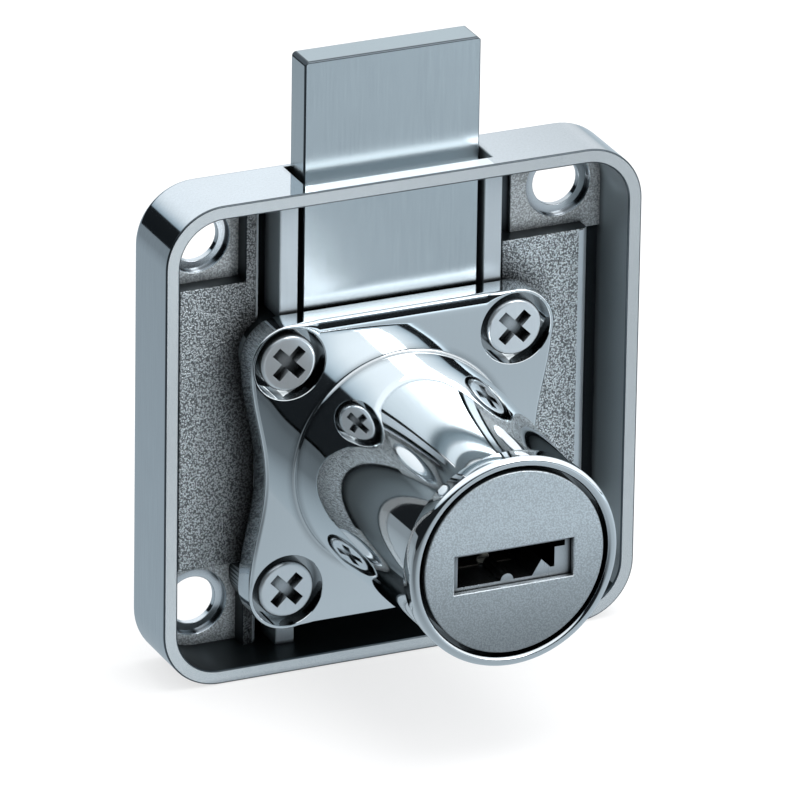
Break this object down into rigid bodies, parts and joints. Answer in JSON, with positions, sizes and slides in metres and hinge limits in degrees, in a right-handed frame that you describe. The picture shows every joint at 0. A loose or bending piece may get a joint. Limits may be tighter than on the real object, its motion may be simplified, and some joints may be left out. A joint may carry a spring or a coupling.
{
  "type": "drawer lock",
  "caption": "Surface-mounted drawer lock: square cast housing, flat bolt that slides out of its upper edge and a round key barrel screwed on through a lobed flange.",
  "frame": {"origin": "on the barrel's axis, in the plane of the housing's front rim, which seats on the drawer front", "axes": "-Y along the barrel towards the key side, +Z along the bolt as it comes out, +X to the right seen from the key side"},
  "size_m": [0.042, 0.029, 0.052],
  "materials": {
    "housing_chrome": "bright chrome over cast zinc, with a coarse cast grain on the plateaus",
    "bolt_chrome": "bright chrome with fine wear",
    "barrel_chrome": "mirror chrome",
    "screw_steel": "plated steel",
    "face_satin": "satin, fine grain",
    "plug_chrome": "chrome-plated brass",
    "wafer_brass": "stamped brass",
    "spring_steel": "spring wire"
  },
  "bodies": {
    "case": {"housing": "housing_chrome", "barrel": "barrel_chrome", "flange_screws": "screw_steel"},
    "bolt": {"bolt": "bolt_chrome"},
    "core": {"plug": "plug_chrome", "face_cap": "face_satin", "thrust_washer": "wafer_brass", "retaining_ring": "spring_steel", "wafer_spring_1": "spring_steel", "wafer_spring_2": "spring_steel", "wafer_spring_3": "spring_steel", "wafer_spring_4": "spring_steel", "wafer_spring_5": "spring_steel", "wafer_spring_6": "spring_steel"},
    "wafer_1": {"wafer_1": "wafer_brass"},
    "wafer_2": {"wafer_2": "wafer_brass"},
    "wafer_3": {"wafer_3": "wafer_brass"},
    "wafer_4": {"wafer_4": "wafer_brass"},
    "wafer_5": {"wafer_5": "wafer_brass"},
    "wafer_6": {"wafer_6": "wafer_brass"}
  },
  "joints": [
    {"name": "plug_turn", "type": "hinge", "parent": "case", "child": "core", "pos_m": [0, 0, 0], "axis": [0, 1, 0], "range_deg": [0, 180]},
    {"name": "bolt_slide", "type": "slide", "parent": "case", "child": "bolt", "axis": [0, 0, -1], "range_m": [0, 0.01]},
    {"name": "wafer_1_slide", "type": "slide", "parent": "core", "child": "wafer_1", "axis": [1, 0, 0], "range_m": [0, 0.0008], "deforming": ["wafer_spring_1"]},
    {"name": "wafer_2_slide", "type": "slide", "parent": "core", "child": "wafer_2", "axis": [-1, 0, 0], "range_m": [0, 0.0008], "deforming": ["wafer_spring_2"]},
    {"name": "wafer_3_slide", "type": "slide", "parent": "core", "child": "wafer_3", "axis": [1, 0, 0], "range_m": [0, 0.0008], "deforming": ["wafer_spring_3"]},
    {"name": "wafer_4_slide", "type": "slide", "parent": "core", "child": "wafer_4", "axis": [-1, 0, 0], "range_m": [0, 0.0008], "deforming": ["wafer_spring_4"]},
    {"name": "wafer_5_slide", "type": "slide", "parent": "core", "child": "wafer_5", "axis": [1, 0, 0], "range_m": [0, 0.0008], "deforming": ["wafer_spring_5"]},
    {"name": "wafer_6_slide", "type": "slide", "parent": "core", "child": "wafer_6", "axis": [-1, 0, 0], "range_m": [0, 0.0008], "deforming": ["wafer_spring_6"]}
  ],
  "couplings": [
    {"joint": "plug_turn", "follows": "bolt_slide", "rad_per_m": 314.16}
  ]
}
